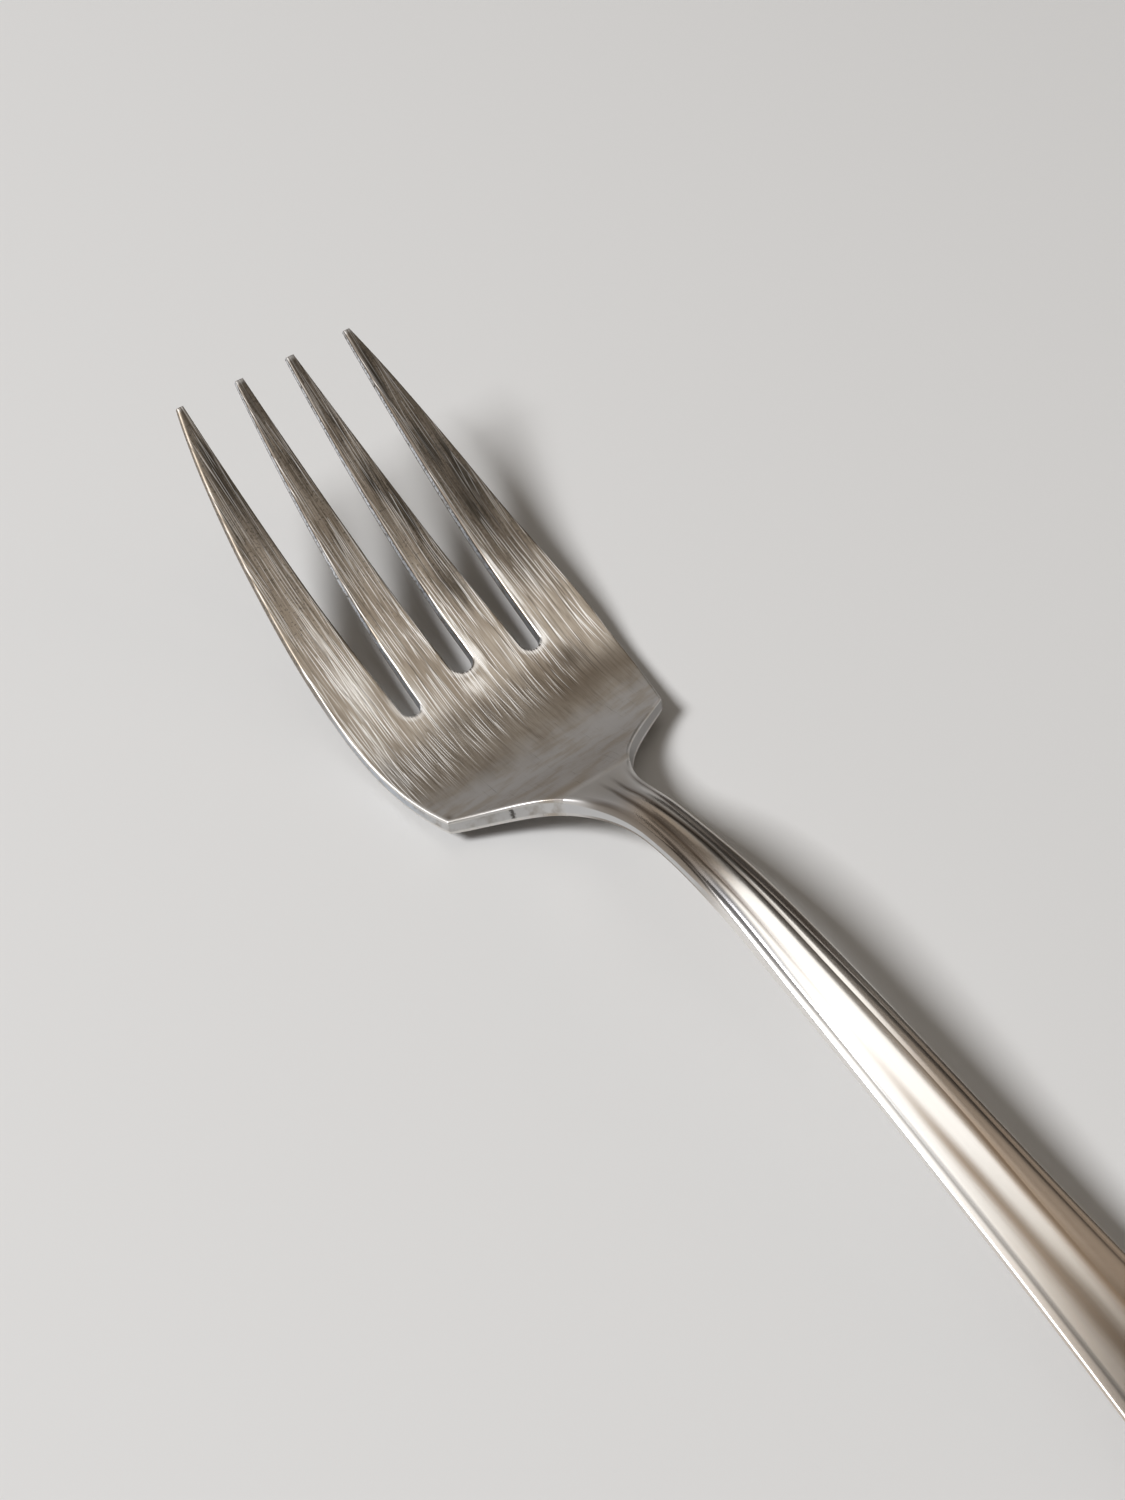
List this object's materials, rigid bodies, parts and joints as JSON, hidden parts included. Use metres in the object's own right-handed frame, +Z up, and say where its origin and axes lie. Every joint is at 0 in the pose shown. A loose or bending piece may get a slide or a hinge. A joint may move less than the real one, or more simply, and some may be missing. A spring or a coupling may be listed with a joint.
{
  "type": "serving fork",
  "caption": "Serving fork with a broad dished head, tapering upswept tines, sharp shoulder corners, a narrow neck and an arched, reeded handle that widens to a plain round end.",
  "frame": {"origin": "on the table under the middle of the fork's box: halfway along its length and on its plane of symmetry", "axes": "+Y along the fork towards the tips of the tines, +X to the right, +Z up from the table"},
  "size_m": [0.0402, 0.2167, 0.0244],
  "materials": {
    "worn_silver": "satin, scratched lengthwise and tarnished brown along the tines",
    "polished_silver": "rubbed bright on the reeds, brown in the grooves"
  },
  "bodies": {
    "root": {"fork_head": "worn_silver", "handle": "polished_silver"}
  },
  "joints": []
}
